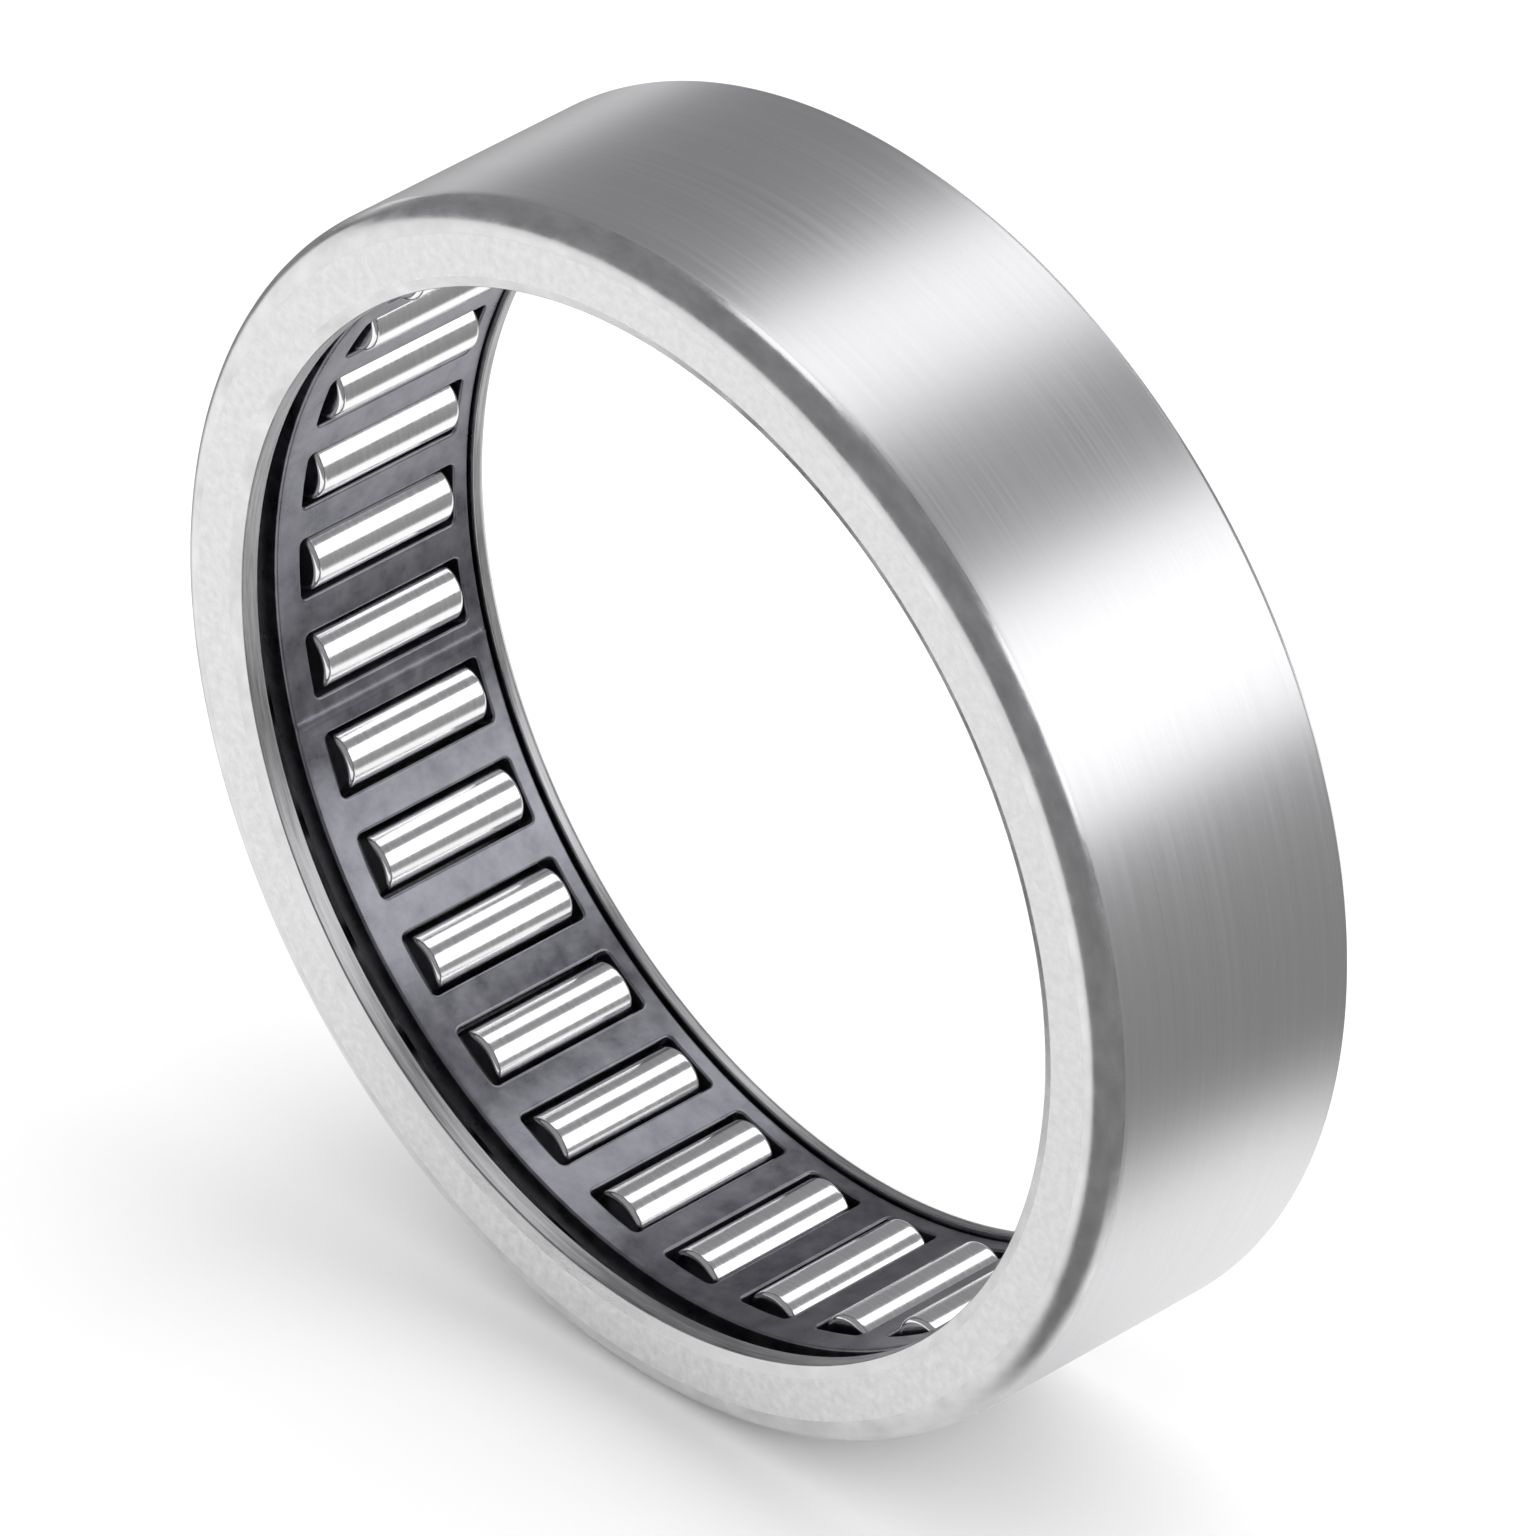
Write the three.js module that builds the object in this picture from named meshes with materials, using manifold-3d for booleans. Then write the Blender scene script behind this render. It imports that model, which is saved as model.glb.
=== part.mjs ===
// Drawn cup needle roller bearing with open ends, for a 40 mm shaft: 47 mm outside diameter, 12 mm wide.
// Millimetres, +Z up. The bearing's axis is +Y and its centre is the origin; its front face looks to -Y.
// Pieces: one drawn cup, one cage and 33 loose needle rollers.
import * as THREE from 'three';
import { mergeVertices } from 'three/addons/utils/BufferGeometryUtils.js';
import Module from 'manifold-3d';

const wasm = await Module();
wasm.setup();

// Driving dimensions.
const shaftRadius = 20;
const outerRadius = 23.5;
const width = 12;
const rollerRadius = 1.25;
const rollerCount = 33;
const firstRollerDegrees = 6.3; // from +X towards +Z
const runningClearance = 0.01; // radial, on each side of a roller

// Rollers.
const rollerLength = 6.7;
const rollerEndRounding = 0.2;

// Drawn cup: the pressed lip is at the front, the lip bent over after assembly at the rear.
const lipBoreRadius = 20.3;
const frontLipThickness = 0.95;
const rearLipThickness = 0.6;
const frontCornerRadius = 1.4;
const rearCornerRadius = 0.6;
const frontBoreRounding = 0.5;
const rearBoreRounding = 0.35;

// Cage.
const cageBoreRadius = 20.5;
const cageOuterRadius = 21.6;
const cageFrontY = -4.0;
const cageRearY = 5.3;
const cageEdgeChamfer = 0.1;
const pocketRadius = 1.42;
const pocketFrontY = -2.8;
const pocketRearY = 4.6;

// How finely round shapes are cut into flats.
const ringSegments = 3 * rollerCount;
const rollerSegments = 16;
const pocketArcSegments = 8;

// Worked out.
const halfWidth = width / 2;
const racewayRadius = shaftRadius + 2 * rollerRadius + 2 * runningClearance;
const pitchRadius = shaftRadius + rollerRadius + runningClearance;
const frontLipInnerY = -halfWidth + frontLipThickness;
const rearLipInnerY = halfWidth - rearLipThickness;
const insideCornerRadius = frontCornerRadius - (outerRadius - racewayRadius);
const pitchAngle = (2 * Math.PI) / rollerCount;
const firstRollerAngle = THREE.MathUtils.degToRad(firstRollerDegrees);
const rollerY = (pocketFrontY + pocketRearY) / 2;

const cupMaterial = new THREE.MeshStandardMaterial({ color: 0xc4c5c8, roughness: 0.3, metalness: 1 });
const cageMaterial = new THREE.MeshStandardMaterial({ color: 0x6a6a72, roughness: 0.55, metalness: 0.6 });
const rollerMaterial = new THREE.MeshStandardMaterial({ color: 0xe6e6e8, roughness: 0.12, metalness: 1 });

// Points of a circular arc in a (radius, y) section, both ends included; angles in degrees from the radial.
function arcPoints(centreRadius, centreY, radius, fromDegrees, toDegrees, segments) {
  const points = [];
  for (let i = 0; i <= segments; i += 1) {
    const angle = THREE.MathUtils.degToRad(fromDegrees + ((toDegrees - fromDegrees) * i) / segments);
    const x = centreRadius + radius * Math.cos(angle);
    points.push(new THREE.Vector2(x, centreY + radius * Math.sin(angle)));
  }
  return points;
}

// A ring about +Y from a section that runs anticlockwise and closes on itself.
function ring(section, startAngle = 0) {
  return new THREE.LatheGeometry([...section, section[0].clone()], ringSegments, startAngle);
}

function solidOf(geometry) {
  const bare = geometry.clone();
  bare.deleteAttribute('normal');
  bare.deleteAttribute('uv');
  const merged = mergeVertices(bare, 1e-4);
  const vertProperties = new Float32Array(merged.attributes.position.array);
  const triVerts = new Uint32Array(merged.index.array);
  return new wasm.Manifold(new wasm.Mesh({ numProp: 3, vertProperties, triVerts }));
}

function geometryOf(solid) {
  const mesh = solid.getMesh();
  const geometry = new THREE.BufferGeometry();
  geometry.setAttribute('position', new THREE.BufferAttribute(new Float32Array(mesh.vertProperties), 3));
  geometry.setIndex(new THREE.BufferAttribute(new Uint32Array(mesh.triVerts), 1));
  const faceted = geometry.toNonIndexed();
  faceted.computeVertexNormals();
  return faceted;
}

// The cup is one pressing: a thin outer wall with a lip turned in at each end.
// The raceway's flats touch the true raceway circle from outside, so they leave the rollers their clearance.
function cupGeometry() {
  const flatRacewayRadius = racewayRadius / Math.cos(Math.PI / ringSegments);
  const insideCorner = insideCornerRadius;
  const section = [
    ...arcPoints(outerRadius - frontCornerRadius, -halfWidth + frontCornerRadius, frontCornerRadius, -90, 0, 5),
    ...arcPoints(outerRadius - rearCornerRadius, halfWidth - rearCornerRadius, rearCornerRadius, 0, 90, 3),
    ...arcPoints(lipBoreRadius + rearBoreRounding, halfWidth - rearBoreRounding, rearBoreRounding, 90, 180, 2),
    new THREE.Vector2(lipBoreRadius, rearLipInnerY),
    new THREE.Vector2(flatRacewayRadius, rearLipInnerY),
    ...arcPoints(flatRacewayRadius - insideCorner, frontLipInnerY + insideCorner, insideCorner, 0, -90, 2),
    new THREE.Vector2(lipBoreRadius, frontLipInnerY),
    ...arcPoints(lipBoreRadius + frontBoreRounding, -halfWidth + frontBoreRounding, frontBoreRounding, 180, 270, 3),
  ];
  return ring(section);
}

// What one roller's pocket takes out of the cage. Below the pitch circle it is round, so it narrows
// to less than a roller at the cage's bore; above, its sides are straight and open outwards.
function pocketCutter() {
  const outline = new THREE.Shape();
  const openTop = cageOuterRadius - pitchRadius + 1;
  outline.moveTo(-pocketRadius, openTop);
  outline.lineTo(-pocketRadius, 0);
  outline.absarc(0, 0, pocketRadius, Math.PI, 2 * Math.PI, false);
  outline.lineTo(pocketRadius, openTop);
  outline.closePath();
  const cutter = new THREE.ExtrudeGeometry(outline, {
    depth: pocketRearY - pocketFrontY,
    bevelEnabled: false,
    curveSegments: pocketArcSegments,
  });
  cutter.rotateX(-Math.PI / 2); // extruded along +Y, open side towards -Z
  cutter.translate(0, pocketFrontY, 0);
  return cutter;
}

// Moves a pocket cutter or a roller out to the pitch circle, at an angle from +X towards +Z.
function toPitchCircle(angle) {
  const turn = new THREE.Matrix4().makeRotationY(-angle - Math.PI / 2);
  const out = new THREE.Matrix4().makeTranslation(
    pitchRadius * Math.cos(angle), 0, pitchRadius * Math.sin(angle),
  );
  return out.multiply(turn);
}

function cageGeometry() {
  const chamfer = cageEdgeChamfer;
  const section = [
    new THREE.Vector2(cageOuterRadius - chamfer, cageFrontY),
    new THREE.Vector2(cageOuterRadius, cageFrontY + chamfer),
    new THREE.Vector2(cageOuterRadius, cageRearY - chamfer),
    new THREE.Vector2(cageOuterRadius - chamfer, cageRearY),
    new THREE.Vector2(cageBoreRadius + chamfer, cageRearY),
    new THREE.Vector2(cageBoreRadius, cageRearY - chamfer),
    new THREE.Vector2(cageBoreRadius, cageFrontY + chamfer),
    new THREE.Vector2(cageBoreRadius + chamfer, cageFrontY),
  ];
  // Flats meet at the middle of every bar, so all pockets are cut alike.
  const startAngle = Math.PI / 2 - firstRollerAngle - pitchAngle / 2;
  let solid = solidOf(ring(section, startAngle));
  const cutter = pocketCutter();
  for (let i = 0; i < rollerCount; i += 1) {
    const placed = cutter.clone().applyMatrix4(toPitchCircle(firstRollerAngle + i * pitchAngle));
    solid = solid.subtract(solidOf(placed));
  }
  return geometryOf(solid);
}

function rollerGeometry() {
  const halfLength = rollerLength / 2;
  const section = [
    new THREE.Vector2(0, -halfLength),
    new THREE.Vector2(rollerRadius - rollerEndRounding, -halfLength),
    new THREE.Vector2(rollerRadius, -halfLength + rollerEndRounding),
    new THREE.Vector2(rollerRadius, halfLength - rollerEndRounding),
    new THREE.Vector2(rollerRadius - rollerEndRounding, halfLength),
    new THREE.Vector2(0, halfLength),
  ];
  return new THREE.LatheGeometry(section, rollerSegments);
}

function namedMesh(name, geometry, material) {
  const mesh = new THREE.Mesh(geometry, material);
  mesh.name = name;
  return mesh;
}

function needleRollers() {
  const rollers = new THREE.Group();
  const geometry = rollerGeometry();
  for (let i = 0; i < rollerCount; i += 1) {
    const number = String(i + 1).padStart(2, '0');
    const roller = namedMesh(`needle_roller_${number}`, geometry, rollerMaterial.clone());
    const angle = firstRollerAngle + i * pitchAngle;
    roller.position.set(pitchRadius * Math.cos(angle), rollerY, pitchRadius * Math.sin(angle));
    roller.rotation.y = -angle;
    rollers.add(roller);
  }
  return rollers;
}

const bearing = new THREE.Group();
bearing.add(namedMesh('drawn_cup', cupGeometry(), cupMaterial));
bearing.add(namedMesh('cage', cageGeometry(), cageMaterial));
bearing.add(needleRollers());

export default bearing;
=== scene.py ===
# Looks of a drawn cup needle roller bearing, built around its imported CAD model.
# Metres, +Z up; the bearing's axis is +Y and its centre is the origin.
import math

import bmesh
import bpy
from mathutils import Matrix, Vector


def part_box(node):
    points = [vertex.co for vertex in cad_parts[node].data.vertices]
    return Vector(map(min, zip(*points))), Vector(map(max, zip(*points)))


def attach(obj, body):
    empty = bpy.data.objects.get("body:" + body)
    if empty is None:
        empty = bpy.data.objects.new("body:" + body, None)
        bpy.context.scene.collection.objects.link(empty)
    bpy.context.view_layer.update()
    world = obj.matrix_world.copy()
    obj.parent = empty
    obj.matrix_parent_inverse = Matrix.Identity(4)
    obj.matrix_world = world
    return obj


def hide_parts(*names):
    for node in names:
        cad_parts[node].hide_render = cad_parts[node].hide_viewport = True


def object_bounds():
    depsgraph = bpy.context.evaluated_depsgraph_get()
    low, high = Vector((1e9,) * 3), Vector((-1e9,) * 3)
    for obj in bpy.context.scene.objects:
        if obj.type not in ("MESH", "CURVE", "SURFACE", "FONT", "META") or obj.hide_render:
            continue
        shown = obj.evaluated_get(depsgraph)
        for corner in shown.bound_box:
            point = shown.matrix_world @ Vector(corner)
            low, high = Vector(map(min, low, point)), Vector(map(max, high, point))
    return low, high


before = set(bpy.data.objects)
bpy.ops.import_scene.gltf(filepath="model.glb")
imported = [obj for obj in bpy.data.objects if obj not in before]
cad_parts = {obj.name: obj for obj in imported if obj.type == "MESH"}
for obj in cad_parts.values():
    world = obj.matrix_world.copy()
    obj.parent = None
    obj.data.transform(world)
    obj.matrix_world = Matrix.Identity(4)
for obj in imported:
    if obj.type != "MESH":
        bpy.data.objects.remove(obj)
cad_low, cad_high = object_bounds()

MM = 0.001

# Sizes that the frame gives.
cup_low, cup_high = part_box("drawn_cup")
cage_low, cage_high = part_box("cage")
FRONT_Y = cup_low.y
REAR_Y = cup_high.y
OUTER_RADIUS = cup_high.z
CAGE_FRONT_Y = cage_low.y
CAGE_REAR_Y = cage_high.y
FLOOR_Z = cad_low.z

ROLLER_NODES = sorted(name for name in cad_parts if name.startswith("needle_roller_"))
ROLLER_CENTRES = {name: sum(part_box(name), Vector()) / 2 for name in ROLLER_NODES}
FIRST_CENTRE = ROLLER_CENTRES[ROLLER_NODES[0]]
ROLLER_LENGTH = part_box(ROLLER_NODES[0])[1].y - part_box(ROLLER_NODES[0])[0].y
PITCH_RADIUS = math.hypot(FIRST_CENTRE.x, FIRST_CENTRE.z)
PITCH_ANGLE = 2 * math.pi / len(ROLLER_NODES)
FIRST_ANGLE = math.atan2(FIRST_CENTRE.z, FIRST_CENTRE.x)

# Sizes that boxes don't give: the CAD part's own driving dimensions.
ROLLER_RADIUS = 1.25 * MM
LIP_BORE_RADIUS = 20.3 * MM
RACEWAY_RADIUS = 22.52 * MM
FRONT_LIP_THICKNESS = 0.95 * MM
REAR_LIP_THICKNESS = 0.6 * MM
CAGE_BORE_RADIUS = 20.5 * MM
CAGE_OUTER_RADIUS = 21.6 * MM
POCKET_RADIUS = 1.42 * MM
POCKET_FRONT_Y = -2.8 * MM
POCKET_REAR_Y = 4.6 * MM
ROLLER_EDGE = 0.2 * MM

# How round the cup's edges are.
FRONT_CORNER = 1.1 * MM
FRONT_CORNER_TOP = 0.2 * MM
FRONT_FACE_INSET = 1.15 * MM
FRONT_BEVEL = 0.5 * MM
REAR_BEVEL = 0.4 * MM
REAR_BORE_ROUNDING = 0.35 * MM
INSIDE_CORNER = 0.42 * MM
SHARP_EDGE = 0.06 * MM

# The cage is a strip bent round and welded on a bar, where a slight bead shows: bars lie half a pitch on.
SEAM_BAR = 17
SEAM_ANGLE = FIRST_ANGLE + (SEAM_BAR + 0.5) * PITCH_ANGLE
SEAM_HEIGHT = 0.04 * MM

# How finely round shapes are cut.
CUP_SEGMENTS = 360
ROLLER_SEGMENTS = 64
SHORT_STEPS, LONG_STEPS, CORNER_STEPS = 6, 12, 6


# ---------------------------------------------------------------- mesh tools

def new_piece(name, vertices, faces, materials, face_materials=None):
    """A smooth-shaded mesh object with outward faces; face_materials holds one material index a face."""
    mesh = bpy.data.meshes.new(name)
    mesh.from_pydata(vertices, [], faces)
    for material in materials:
        mesh.materials.append(material)
    if face_materials:
        mesh.polygons.foreach_set("material_index", face_materials)
    tidy = bmesh.new()
    tidy.from_mesh(mesh)
    bmesh.ops.remove_doubles(tidy, verts=tidy.verts, dist=1e-4 * MM)
    bmesh.ops.recalc_face_normals(tidy, faces=tidy.faces)
    tidy.to_mesh(mesh)
    tidy.free()
    mesh.polygons.foreach_set("use_smooth", [True] * len(mesh.polygons))
    piece = bpy.data.objects.new(name, mesh)
    bpy.context.scene.collection.objects.link(piece)
    return piece


def rounded_outline(corners, arc_steps=8, support=0.02 * MM):
    """A closed outline from (radius, y, fillet) corners: each corner becomes an arc of its fillet radius.

    A point close to each end of an arc keeps the flats between arcs flat when they are shaded smooth.
    """
    points = []
    count = len(corners)
    for i, (radius, y, fillet) in enumerate(corners):
        here = Vector((radius, y))
        before = (Vector(corners[i - 1][:2]) - here).normalized()
        after = (Vector(corners[(i + 1) % count][:2]) - here).normalized()
        half_angle = before.angle(after) / 2
        reach = fillet / math.tan(half_angle)
        centre = here + (before + after).normalized() * (fillet / math.sin(half_angle))
        start = here + before * reach - centre
        end = here + after * reach - centre
        points.append(here + before * (reach + support))
        for step in range(arc_steps + 1):
            points.append(centre + start.slerp(end, step / arc_steps) * fillet)
        points.append(here + after * (reach + support))
    return points


def revolve(outline, segments, closed=True):
    """Vertices and faces of an (r, y) outline turned about the Y axis."""
    vertices = []
    for i in range(segments):
        angle = 2 * math.pi * i / segments
        for point in outline:
            vertices.append((point[0] * math.cos(angle), point[1], point[0] * math.sin(angle)))
    count = len(outline)
    faces = []
    for i in range(segments):
        following = (i + 1) % segments
        for j in range(count if closed else count - 1):
            k = (j + 1) % count
            faces.append((i * count + j, i * count + k, following * count + k, following * count + j))
    return vertices, faces


# ---------------------------------------------------------------- materials

def new_material(name):
    material = bpy.data.materials.new(name)
    material.use_nodes = True
    tree = material.node_tree
    return material, tree, tree.nodes["Principled BSDF"]


def add_node(tree, kind, settings=None, inputs=None):
    node = tree.nodes.new(kind)
    for key, value in (settings or {}).items():
        setattr(node, key, value)
    for key, value in (inputs or {}).items():
        node.inputs[key].default_value = value
    return node


def stretched_noise(tree, scale, detail=3.0, roughness=0.6):
    """Noise in the object's own coordinates, with its own scale along each axis."""
    place = add_node(tree, "ShaderNodeTexCoord")
    mapping = add_node(tree, "ShaderNodeMapping", inputs={"Scale": scale})
    noise = add_node(tree, "ShaderNodeTexNoise",
                     inputs={"Scale": 1.0, "Detail": detail, "Roughness": roughness})
    tree.links.new(place.outputs["Object"], mapping.inputs["Vector"])
    tree.links.new(mapping.outputs["Vector"], noise.inputs["Vector"])
    return noise.outputs["Fac"]


def colour_ramp(tree, factor, stops):
    """A colour ramp from (position, colour) stops."""
    ramp = add_node(tree, "ShaderNodeValToRGB")
    elements = ramp.color_ramp.elements
    while len(elements) < len(stops):
        elements.new(0.5)
    for element, (position, colour) in zip(elements, stops):
        element.position = position
        element.color = (*colour, 1.0)
    tree.links.new(factor, ramp.inputs["Fac"])
    return ramp.outputs["Color"]


def value_range(tree, factor, low, high):
    """Maps noise, which mostly lies between 0.3 and 0.7, to low..high."""
    node = add_node(tree, "ShaderNodeMapRange", inputs={
        "From Min": 0.3, "From Max": 0.7, "To Min": low, "To Max": high})
    tree.links.new(factor, node.inputs["Value"])
    return node.outputs["Result"]


def add_bump(tree, shader, height, distance, strength=1.0):
    bump = add_node(tree, "ShaderNodeBump", inputs={"Distance": distance, "Strength": strength})
    tree.links.new(height, bump.inputs["Height"])
    tree.links.new(bump.outputs["Normal"], shader.inputs["Normal"])


def ground_steel():
    """Bearing steel ground round its axis: fine lines round the ring, highlights drawn out along it."""
    material, tree, shader = new_material("ground_steel")
    lines = stretched_noise(tree, (60, 9000, 60), detail=4.0, roughness=0.7)
    tree.links.new(colour_ramp(tree, lines, [(0.3, (0.70, 0.70, 0.71)), (0.7, (0.77, 0.77, 0.78))]),
                   shader.inputs["Base Color"])
    tree.links.new(value_range(tree, lines, 0.34, 0.42), shader.inputs["Roughness"])
    add_bump(tree, shader, lines, 0.0004 * MM)
    tangent = add_node(tree, "ShaderNodeTangent", {"direction_type": "RADIAL", "axis": "Y"})
    tree.links.new(tangent.outputs["Tangent"], shader.inputs["Tangent"])
    shader.inputs["Metallic"].default_value = 1.0
    shader.inputs["Anisotropic"].default_value = 0.5
    shader.inputs["Anisotropic Rotation"].default_value = 0.25
    return material


def satin_steel():
    """The pressed lips: tumbled steel, light and mottled."""
    material, tree, shader = new_material("satin_steel")
    mottle = stretched_noise(tree, (2500, 2500, 2500), detail=4.0)
    tree.links.new(colour_ramp(tree, mottle, [(0.3, (0.66, 0.66, 0.665)), (0.7, (0.84, 0.84, 0.845))]),
                   shader.inputs["Base Color"])
    tree.links.new(value_range(tree, mottle, 0.38, 0.5), shader.inputs["Roughness"])
    add_bump(tree, shader, mottle, 0.01 * MM)
    shader.inputs["Metallic"].default_value = 1.0
    return material


def rolled_steel():
    """The cup's rounded corners and bevels, burnished by the press tool."""
    material, tree, shader = new_material("rolled_steel")
    mottle = stretched_noise(tree, (700, 1800, 700), detail=5.0)
    tree.links.new(colour_ramp(tree, mottle, [(0.3, (0.58, 0.58, 0.585)), (0.7, (0.76, 0.76, 0.765))]),
                   shader.inputs["Base Color"])
    tree.links.new(value_range(tree, mottle, 0.16, 0.28), shader.inputs["Roughness"])
    add_bump(tree, shader, mottle, 0.007 * MM)
    shader.inputs["Metallic"].default_value = 1.0
    return material


def drawn_steel_painted_shade():
    """The lips' bores and the raceway side: marks that run round, on a base colour painted darker grey as
    the shade inside the cup.
    """
    material, tree, shader = new_material("drawn_steel_painted_shade")
    marks = stretched_noise(tree, (250, 5000, 250), detail=5.0, roughness=0.75)
    # Streaky marks round the ring, kept dark overall: painted shade for the inside of the cup.
    tree.links.new(colour_ramp(tree, marks, [(0.3, (0.24, 0.24, 0.24)), (0.7, (0.6, 0.6, 0.61))]),
                   shader.inputs["Base Color"])
    tree.links.new(value_range(tree, marks, 0.3, 0.45), shader.inputs["Roughness"])
    add_bump(tree, shader, marks, 0.008 * MM)
    shader.inputs["Metallic"].default_value = 1.0
    return material


def phosphated_steel():
    """The cage: dark slate grey with a faint cloudiness."""
    material, tree, shader = new_material("phosphated_steel")
    clouds = stretched_noise(tree, (900, 900, 900), detail=6.0)
    tree.links.new(colour_ramp(tree, clouds, [(0.3, (0.17, 0.17, 0.195)), (0.7, (0.31, 0.31, 0.34))]),
                   shader.inputs["Base Color"])
    tree.links.new(value_range(tree, clouds, 0.26, 0.38), shader.inputs["Roughness"])
    grain = stretched_noise(tree, (4000, 4000, 4000), detail=4.0)
    add_bump(tree, shader, grain, 0.006 * MM)
    shader.inputs["Metallic"].default_value = 1.0
    return material


def polished_steel():
    """The rollers: near mirror, with the faintest marks round them."""
    material, tree, shader = new_material("polished_steel")
    marks = stretched_noise(tree, (900, 7000, 900), detail=3.0)
    tree.links.new(colour_ramp(tree, marks, [(0.3, (0.84, 0.84, 0.845)), (0.7, (0.92, 0.92, 0.925))]),
                   shader.inputs["Base Color"])
    tree.links.new(value_range(tree, marks, 0.13, 0.2), shader.inputs["Roughness"])
    add_bump(tree, shader, marks, 0.0005 * MM)
    shader.inputs["Metallic"].default_value = 1.0
    return material


# ---------------------------------------------------------------- pieces

def make_cup(ground, satin, drawn, rolled):
    """The drawn cup: one thin wall with a lip turned in at each end."""
    front_lip_inner = FRONT_Y + FRONT_LIP_THICKNESS
    rear_lip_inner = REAR_Y - REAR_LIP_THICKNESS
    outline = rounded_outline([
        (OUTER_RADIUS - FRONT_FACE_INSET, FRONT_Y, 0.1 * MM),
        (OUTER_RADIUS, FRONT_Y + FRONT_CORNER_TOP, FRONT_CORNER),
        (OUTER_RADIUS, REAR_Y - REAR_BEVEL, 0.15 * MM),
        (OUTER_RADIUS - REAR_BEVEL, REAR_Y, 0.2 * MM),
        (LIP_BORE_RADIUS, REAR_Y, REAR_BORE_ROUNDING),
        (LIP_BORE_RADIUS, rear_lip_inner, SHARP_EDGE),
        (RACEWAY_RADIUS, rear_lip_inner, 0.1 * MM),
        (RACEWAY_RADIUS, front_lip_inner, INSIDE_CORNER),
        (LIP_BORE_RADIUS, front_lip_inner, SHARP_EDGE),
        (LIP_BORE_RADIUS, FRONT_Y + 0.2 * MM, 0.08 * MM),
        (LIP_BORE_RADIUS + FRONT_BEVEL, FRONT_Y, 0.2 * MM),
    ])
    vertices, faces = revolve(outline, CUP_SEGMENTS)
    per_turn = []
    for i, point in enumerate(outline):
        middle = (point + outline[(i + 1) % len(outline)]) / 2
        if middle.x > OUTER_RADIUS - 0.02 * MM:
            per_turn.append(0)
        # Lip bores and the inside of the cup take the darker steel, its darkness painted shade.
        elif middle.x < LIP_BORE_RADIUS + 0.03 * MM or front_lip_inner < middle.y < rear_lip_inner:
            per_turn.append(2)
        elif abs(abs(middle.y) - REAR_Y) < 0.01 * MM:
            per_turn.append(1)
        else:
            per_turn.append(3)
    materials = [ground, satin, drawn, rolled]
    piece = new_piece("cup_turned_in_lips", vertices, faces, materials, per_turn * CUP_SEGMENTS)
    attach(piece, "drawn_cup")
    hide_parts("drawn_cup")


def pocket_half_width(radius):
    """Half the pocket's width at a distance from the bearing's axis: round below the pitch circle."""
    below = max(0.0, PITCH_RADIUS - radius)
    return math.sqrt(POCKET_RADIUS ** 2 - below ** 2)


def pocket_loop(radius, grow, corner=0.25 * MM):
    """(angle, y) points round one pocket, anticlockwise, at a radius; grow widens it for a rounded edge."""
    half_width = pocket_half_width(radius) + grow
    low, high = POCKET_FRONT_Y - grow, POCKET_REAR_Y + grow
    bend = corner + grow
    sides = [
        ((-half_width + bend, low), (half_width - bend, low), SHORT_STEPS),
        ((half_width, low + bend), (half_width, high - bend), LONG_STEPS),
        ((half_width - bend, high), (-half_width + bend, high), SHORT_STEPS),
        ((-half_width, high - bend), (-half_width, low + bend), LONG_STEPS),
    ]
    centres = [(half_width - bend, low + bend), (half_width - bend, high - bend),
               (-half_width + bend, high - bend), (-half_width + bend, low + bend)]
    points = []
    for quarter, ((start, end, steps), centre) in enumerate(zip(sides, centres)):
        for step in range(steps):
            share = step / steps
            points.append(tuple(a + (b - a) * share for a, b in zip(start, end)))
        for step in range(CORNER_STEPS):
            turn = math.radians(90 * (quarter - 1 + step / CORNER_STEPS))
            points.append((centre[0] + bend * math.cos(turn), centre[1] + bend * math.sin(turn)))
    return [(math.asin(x / radius), y) for x, y in points]


def sector_loop(front, rear):
    """The same number of points round the sector that holds one pocket, in step with pocket_loop."""
    half = PITCH_ANGLE / 2
    shrink = 0.8
    sides = [
        ((-half * shrink, front), (half * shrink, front), SHORT_STEPS, (half, front)),
        ((half, POCKET_FRONT_Y), (half, POCKET_REAR_Y), LONG_STEPS, (half, rear)),
        ((half * shrink, rear), (-half * shrink, rear), SHORT_STEPS, (-half, rear)),
        ((-half, POCKET_REAR_Y), (-half, POCKET_FRONT_Y), LONG_STEPS, (-half, front)),
    ]
    points = []
    middle = CORNER_STEPS // 2
    for index, (start, end, steps, corner) in enumerate(sides):
        following = sides[(index + 1) % len(sides)][0]
        for step in range(steps):
            share = step / steps
            points.append(tuple(a + (b - a) * share for a, b in zip(start, end)))
        for step in range(middle):
            share = step / middle
            points.append(tuple(a + (b - a) * share for a, b in zip(end, corner)))
        for step in range(middle):
            share = step / middle
            points.append(tuple(a + (b - a) * share for a, b in zip(corner, following)))
    return points


def between(loop_a, loop_b, share):
    return [tuple(a + (b - a) * share for a, b in zip(p, q)) for p, q in zip(loop_a, loop_b)]


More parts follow.
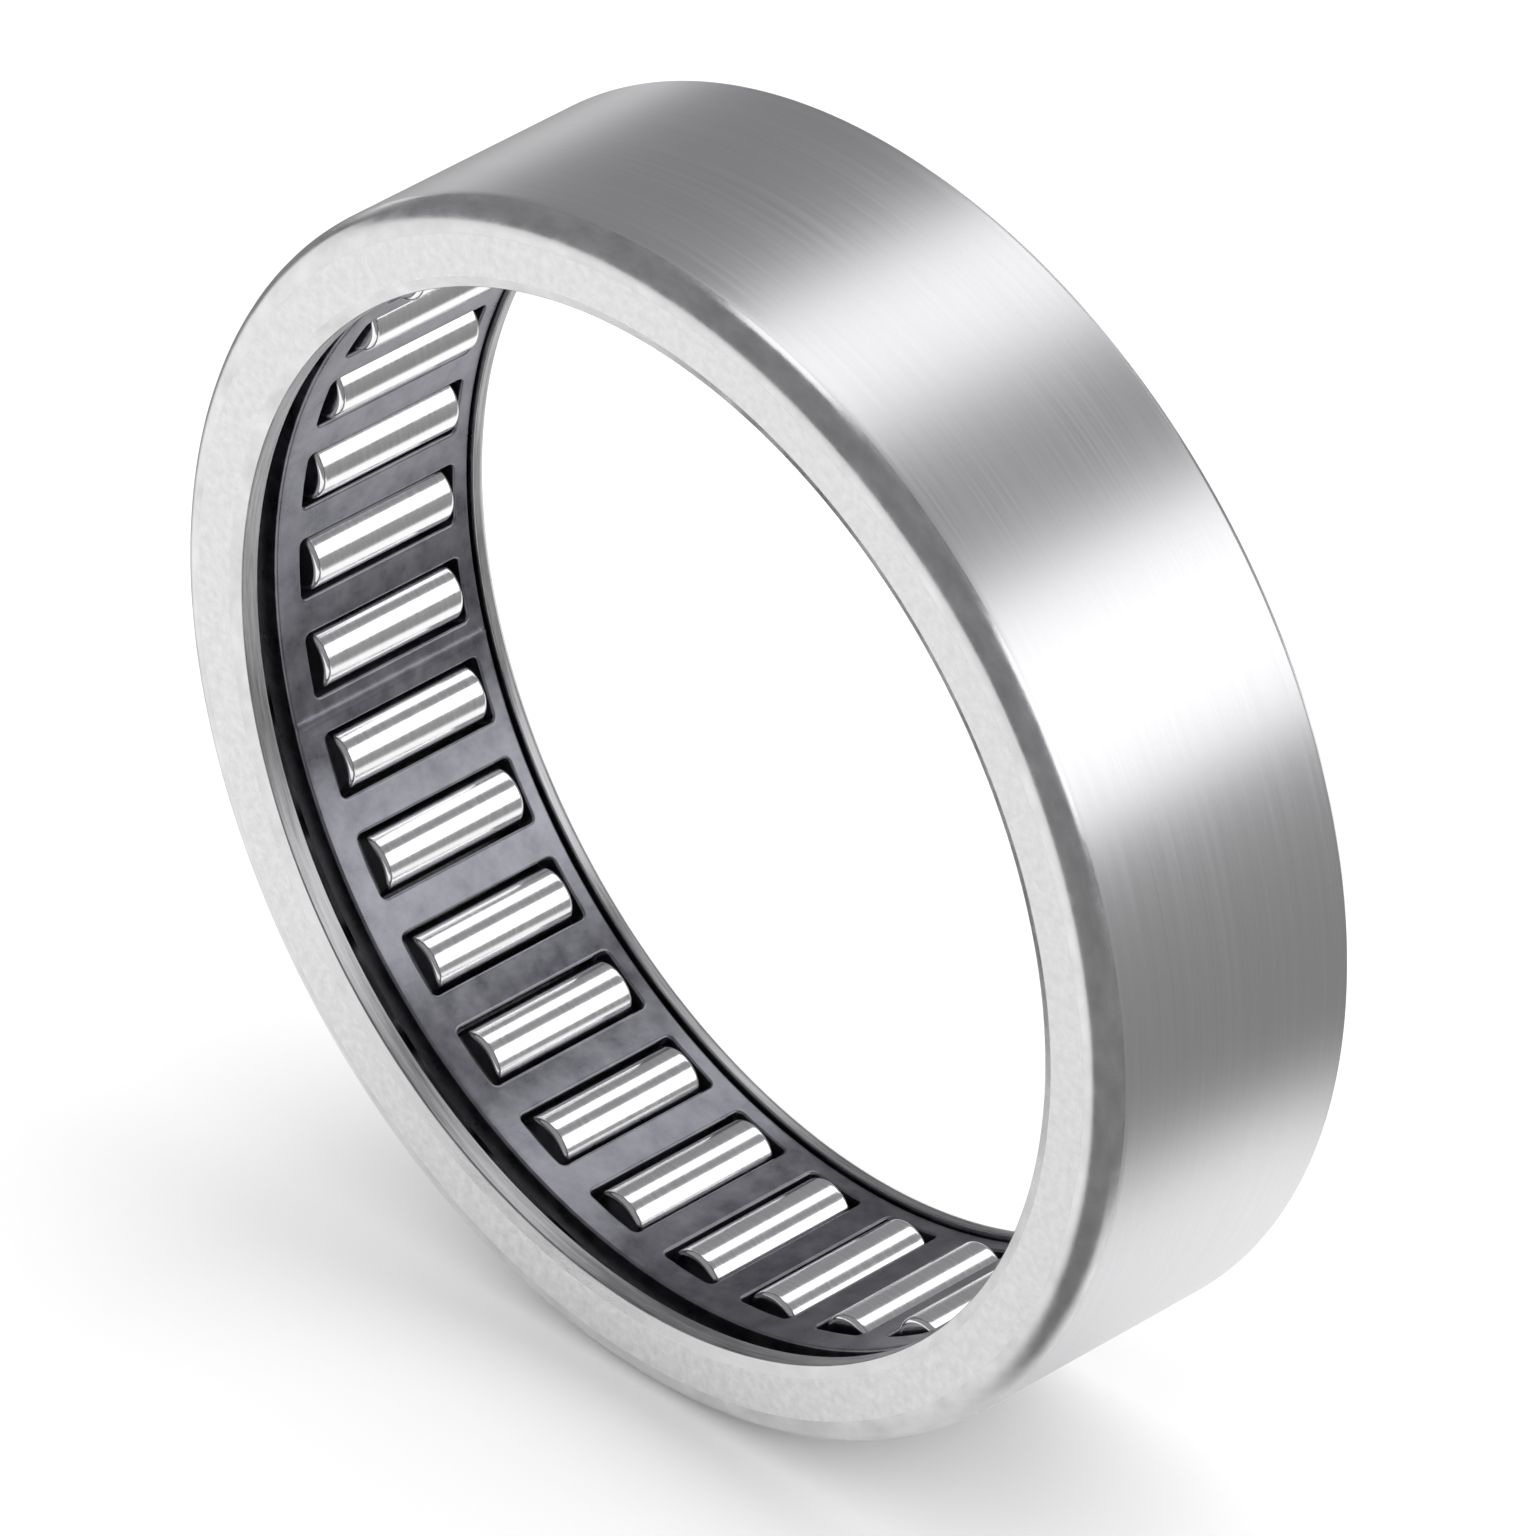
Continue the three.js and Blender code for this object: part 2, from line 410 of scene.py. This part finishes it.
def cage_sector_loops(edge=0.1 * MM, end_edge=0.12 * MM):
    """Loops of (radius, angle, y) from the sector's border on the bore, down through the pocket, to the
    border on the outside."""
    border = sector_loop(CAGE_FRONT_Y + end_edge, CAGE_REAR_Y - end_edge)
    shares = (1.0, 0.8, 0.5, 0.2, 0.05)
    rounding_steps, wall_steps = 4, 6
    loops = []
    rim = pocket_loop(CAGE_BORE_RADIUS + edge, edge)
    for share in shares:
        loops.append([(CAGE_BORE_RADIUS, a, y) for a, y in between(rim, border, share)])
    for step in range(rounding_steps + 1):
        turn = math.pi / 2 * step / rounding_steps
        radius = CAGE_BORE_RADIUS + edge * (1 - math.cos(turn))
        loop = pocket_loop(CAGE_BORE_RADIUS + edge, edge * (1 - math.sin(turn)))
        loops.append([(radius, a, y) for a, y in loop])
    wall_from, wall_to = CAGE_BORE_RADIUS + edge, CAGE_OUTER_RADIUS - edge
    for step in range(1, wall_steps):
        radius = wall_from + (wall_to - wall_from) * step / wall_steps
        loops.append([(radius, a, y) for a, y in pocket_loop(radius, 0.0)])
    for step in range(rounding_steps + 1):
        turn = math.pi / 2 * step / rounding_steps
        radius = wall_to + edge * math.sin(turn)
        loop = pocket_loop(wall_to, edge * (1 - math.cos(turn)))
        loops.append([(radius, a, y) for a, y in loop])
    rim = pocket_loop(wall_to, edge)
    for share in reversed(shares):
        loops.append([(CAGE_OUTER_RADIUS, a, y) for a, y in between(rim, border, share)])
    return loops, border, end_edge


def cage_end_profile(y_end, inward, edge):
    """(radius, y) points across one end of the cage, from its bore to its outside, with rounded edges."""
    points = []
    steps = 4
    for step in range(steps + 1):
        turn = math.pi / 2 * step / steps
        points.append((CAGE_BORE_RADIUS + edge * (1 - math.cos(turn)),
                       y_end + inward * edge * (1 - math.sin(turn))))
    for step in range(steps + 1):
        turn = math.pi / 2 * step / steps
        points.append((CAGE_OUTER_RADIUS - edge * (1 - math.sin(turn)),
                       y_end + inward * edge * (1 - math.cos(turn))))
    return points


def make_cage(material):
    """The cage: one ring with a rounded pocket for every roller."""
    loops, border, end_edge = cage_sector_loops()
    count = len(border)
    sector_vertices = [point for loop in loops for point in loop]
    sector_faces = []
    for i in range(len(loops) - 1):
        for j in range(count):
            k = (j + 1) % count
            sector_faces.append((i * count + j, (i + 1) * count + j, (i + 1) * count + k, i * count + k))
    for y_end, inward in ((CAGE_FRONT_Y, 1), (CAGE_REAR_Y, -1)):
        y_border = y_end + inward * end_edge
        angles = sorted({a for a, y in border if abs(y - y_border) < 1e-3 * MM})
        profile = cage_end_profile(y_end, inward, end_edge)
        base = len(sector_vertices)
        sector_vertices += [(radius, a, y) for radius, y in profile for a in angles]
        for i in range(len(profile) - 1):
            for j in range(len(angles) - 1):
                first = base + i * len(angles) + j
                second = first + len(angles)
                sector_faces.append((first, second, second + 1, first + 1))
    vertices, faces = [], []
    middle_radius = (CAGE_BORE_RADIUS + CAGE_OUTER_RADIUS) / 2
    for i in range(len(ROLLER_NODES)):
        turn = FIRST_ANGLE + i * PITCH_ANGLE
        base = len(vertices)
        for radius, angle, y in sector_vertices:
            on_seam = abs(turn + angle - SEAM_ANGLE) < 1e-4
            lift = math.copysign(SEAM_HEIGHT, radius - middle_radius) if on_seam else 0.0
            place = radius + lift
            vertices.append((place * math.cos(turn + angle), y, place * math.sin(turn + angle)))
        faces += [tuple(base + index for index in face) for face in sector_faces]
    piece = new_piece("cage_pocketed_ring", vertices, faces, [material])
    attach(piece, "cage")
    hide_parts("cage")


def make_roller(node, material):
    """One needle roller, with flat ends and rounded edges."""
    half, edge, steps = ROLLER_LENGTH / 2, ROLLER_EDGE, 6
    support = 0.03 * MM
    outline = [(0.0, half), (ROLLER_RADIUS - edge - support, half)]
    for step in range(steps + 1):
        turn = math.pi / 2 * step / steps
        outline.append((ROLLER_RADIUS - edge * (1 - math.sin(turn)), half - edge * (1 - math.cos(turn))))
    outline.append((ROLLER_RADIUS, half - edge - support))
    outline += [(radius, -y) for radius, y in reversed(outline)]
    vertices, faces = revolve(outline, ROLLER_SEGMENTS, closed=False)
    centre = ROLLER_CENTRES[node]
    vertices = [(x + centre.x, y + centre.y, z + centre.z) for x, y, z in vertices]
    piece = new_piece(node.replace("needle_roller", "polished_roller"), vertices, faces, [material])
    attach(piece, node)
    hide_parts(node)


# ---------------------------------------------------------------- setting

def calculate(tree, operation, *values):
    """A maths node on sockets and numbers."""
    node = add_node(tree, "ShaderNodeMath", {"operation": operation})
    for socket, value in zip(node.inputs, values):
        if isinstance(value, float):
            socket.default_value = value
        else:
            tree.links.new(value, socket)
    return node.outputs[0]


def smooth_step(tree, value, start, end):
    """0 before start and 1 after end, or the other way round where end is less than start."""
    node = add_node(tree, "ShaderNodeMapRange", {"interpolation_type": "SMOOTHSTEP"},
                    {"From Min": start, "From Max": end, "To Min": 0.0, "To Max": 1.0})
    tree.links.new(value, node.inputs["Value"])
    return node.outputs["Result"]


def soft_span(tree, value, low, high, softness):
    """1 between low and high, falling to 0 over softness outside them."""
    rising = smooth_step(tree, value, (low - softness) * MM, low * MM)
    falling = smooth_step(tree, value, (high + softness) * MM, high * MM)
    return calculate(tree, "MULTIPLY", rising, falling)


# Patches of the floor's colour painted dark for reflected rays only: painted dark reflections in the metal.
# Each is an x span, a y span and the width of its soft border, in mm.
FAR = 2000
PAINTED_REFLECTION_PATCHES = [
    ((42, FAR), (-FAR, FAR), 15),
    ((8, FAR), (26, FAR), 10),
    ((-40, FAR), (80, FAR), 20),
    ((22, FAR), (-FAR, -8), 8),
    ((-FAR, -38), (12, 90), 20),
]


def make_floor():
    """A plain pale floor, its colour painted dark in patches for reflected rays only: painted dark
    reflections in the metal.
    """
    mesh = bpy.data.meshes.new("floor")
    half = 1.0
    mesh.from_pydata([(-half, -half, FLOOR_Z), (half, -half, FLOOR_Z), (half, half, FLOOR_Z),
                      (-half, half, FLOOR_Z)], [], [(0, 1, 2, 3)])
    material, tree, shader = new_material("floor_white_painted_reflections")
    geometry = add_node(tree, "ShaderNodeNewGeometry")
    parts = add_node(tree, "ShaderNodeSeparateXYZ")
    tree.links.new(geometry.outputs["Position"], parts.inputs["Vector"])
    # Mask of the patches where the floor's colour is painted dark for reflected rays: painted dark
    # reflections.
    painted_reflection_mask = None
    for (left, right), (front, back), softness in PAINTED_REFLECTION_PATCHES:
        painted_dark_patch = calculate(tree, "MULTIPLY",
                         soft_span(tree, parts.outputs["X"], left, right, softness),
                         soft_span(tree, parts.outputs["Y"], front, back, softness))
        painted_reflection_mask = calculate(tree, "MAXIMUM", painted_reflection_mask, painted_dark_patch) if painted_reflection_mask else painted_dark_patch
    path = add_node(tree, "ShaderNodeLightPath")
    factor = calculate(tree, "MULTIPLY", painted_reflection_mask, path.outputs["Is Glossy Ray"])
    # Floor colour 0.9 for the camera and for light, 0.2 in the patches for glossy rays: painted dark
    # reflections.
    mix = add_node(tree, "ShaderNodeMix", {"data_type": "RGBA"})
    mix.inputs[6].default_value = (0.9, 0.9, 0.9, 1.0)
    mix.inputs[7].default_value = (0.2, 0.2, 0.2, 1.0)
    tree.links.new(factor, mix.inputs[0])
    tree.links.new(mix.outputs[2], shader.inputs["Base Color"])
    shader.inputs["Roughness"].default_value = 0.9
    shader.inputs["Specular IOR Level"].default_value = 0.1
    mesh.materials.append(material)
    floor = bpy.data.objects.new("floor", mesh)
    bpy.context.scene.collection.objects.link(floor)


def make_strip_light(name, direction, distance, size, power):
    """A soft rectangular light, long side along Y, facing the bearing from a direction."""
    data = bpy.data.lights.new(name, "AREA")
    data.shape = "RECTANGLE"
    data.size, data.size_y = size
    data.energy = power
    light = bpy.data.objects.new(name, data)
    towards = Vector(direction).normalized()
    light.location = towards * distance
    side = Vector((0, 1, 0)).cross(towards).normalized()
    along = towards.cross(side)
    light.rotation_euler = Matrix((side, along, towards)).transposed().to_euler()
    light.visible_camera = False
    bpy.context.scene.collection.objects.link(light)


def ring_direction(degrees, lean=0.0):
    """A direction round the bearing's axis, from +X towards +Z, leaning towards +Y by lean degrees."""
    angle, tilt = math.radians(degrees), math.radians(lean)
    return (math.cos(angle) * math.cos(tilt), math.sin(tilt), math.sin(angle) * math.cos(tilt))


def make_world():
    """Pale for the camera and for the floor's own light, darker in the metal's reflections."""
    world = bpy.data.worlds.new("studio")
    bpy.context.scene.world = world
    world.use_nodes = True
    tree = world.node_tree
    background = tree.nodes["Background"]
    path = add_node(tree, "ShaderNodeLightPath")
    mix = add_node(tree, "ShaderNodeMix", {"data_type": "RGBA"})
    mix.inputs[6].default_value = (1.08, 1.08, 1.08, 1.0)
    mix.inputs[7].default_value = (0.27, 0.27, 0.28, 1.0)
    tree.links.new(path.outputs["Is Glossy Ray"], mix.inputs[0])
    tree.links.new(mix.outputs[2], background.inputs["Color"])


def make_camera():
    """A long lens, in millimetres on a 36 mm sensor, at the photograph's angle."""
    azimuth, elevation = math.radians(46.3), math.radians(33.7)
    distance = 30 * OUTER_RADIUS
    back = Vector((math.sin(azimuth) * math.cos(elevation), -math.cos(azimuth) * math.cos(elevation),
                   math.sin(elevation)))
    right = Vector((math.cos(azimuth), math.sin(azimuth), 0.0))
    up = back.cross(right)
    data = bpy.data.cameras.new("camera")
    data.sensor_width = 36.0
    data.lens = 473.133
    data.clip_start, data.clip_end = 0.01, 10.0
    camera = bpy.data.objects.new("camera", data)
    camera.location = back * distance + (right * 0.016 + up * -0.0033) * OUTER_RADIUS
    camera.rotation_mode = "QUATERNION"
    camera.rotation_quaternion = (-back).to_track_quat("-Z", "Y")
    bpy.context.scene.collection.objects.link(camera)
    bpy.context.scene.camera = camera


def main():
    bpy.context.scene.view_settings.view_transform = "Standard"
    make_camera()
    make_world()
    make_floor()
    make_strip_light("top_strip", ring_direction(97, 30), 0.5, (0.22, 0.6), 0.55)
    make_strip_light("right_strip", ring_direction(28, 30), 0.5, (0.32, 0.6), 0.9)
    make_cup(ground_steel(), satin_steel(), drawn_steel_painted_shade(), rolled_steel())
    make_cage(phosphated_steel())
    roller_material = polished_steel()
    for node in ROLLER_NODES:
        make_roller(node, roller_material)


main()
bpy.context.view_layer.update()
